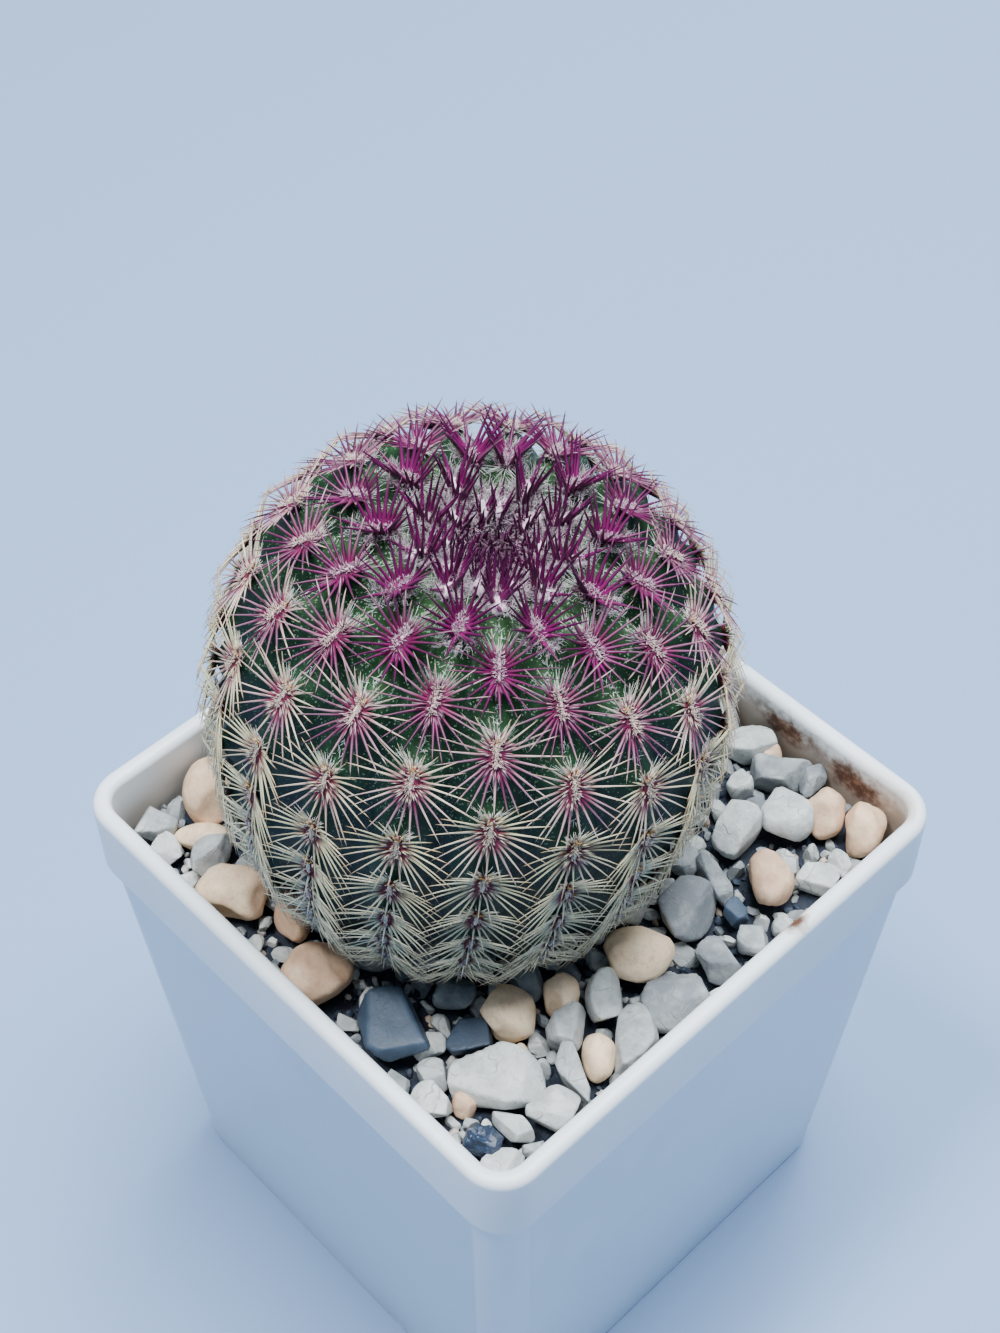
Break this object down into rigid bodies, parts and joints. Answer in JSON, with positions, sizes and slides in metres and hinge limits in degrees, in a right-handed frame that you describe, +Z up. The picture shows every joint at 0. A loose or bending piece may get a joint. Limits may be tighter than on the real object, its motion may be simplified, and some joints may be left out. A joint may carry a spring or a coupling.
{
  "type": "potted rainbow hedgehog cactus",
  "caption": "Round ribbed cactus covered in combs of pink and cream spines, standing in a square white pot of soil that is dressed with stone chips and pebbles.",
  "frame": {"origin": "middle of the pot's base, on the surface it stands on", "axes": "+Z up through the pot and the plant; X and Y along the square pot's sides"},
  "size_m": [0.08, 0.08, 0.1458],
  "materials": {
    "pot": "satin white moulded plastic",
    "soil": null,
    "grey_stone": "rough broken grey chips on dark grit",
    "tan_stone": "smooth rounded tan pebbles",
    "dark_stone": "split blue-grey slate",
    "crystal_stone": "glassy dark crystal chip",
    "cactus": null
  },
  "bodies": {
    "root": {"pot": "pot", "soil": "soil", "gravel_grey": "grey_stone", "stone_crystal": "crystal_stone", "cactus": "cactus", "pebble_tan_01": "tan_stone", "pebble_tan_02": "tan_stone", "pebble_tan_03": "tan_stone", "pebble_tan_04": "tan_stone", "pebble_tan_05": "tan_stone", "pebble_tan_06": "tan_stone", "pebble_tan_07": "tan_stone", "pebble_tan_08": "tan_stone", "pebble_tan_09": "tan_stone", "pebble_tan_10": "tan_stone", "pebble_tan_11": "tan_stone", "pebble_tan_12": "tan_stone", "pebble_tan_13": "tan_stone", "pebble_tan_14": "tan_stone", "pebble_tan_15": "tan_stone", "pebble_tan_16": "tan_stone", "pebble_tan_17": "tan_stone", "pebble_tan_18": "tan_stone", "pebble_tan_19": "tan_stone", "pebble_tan_20": "tan_stone", "stone_dark_01": "dark_stone", "stone_dark_02": "dark_stone", "stone_dark_03": "dark_stone"}
  },
  "joints": []
}
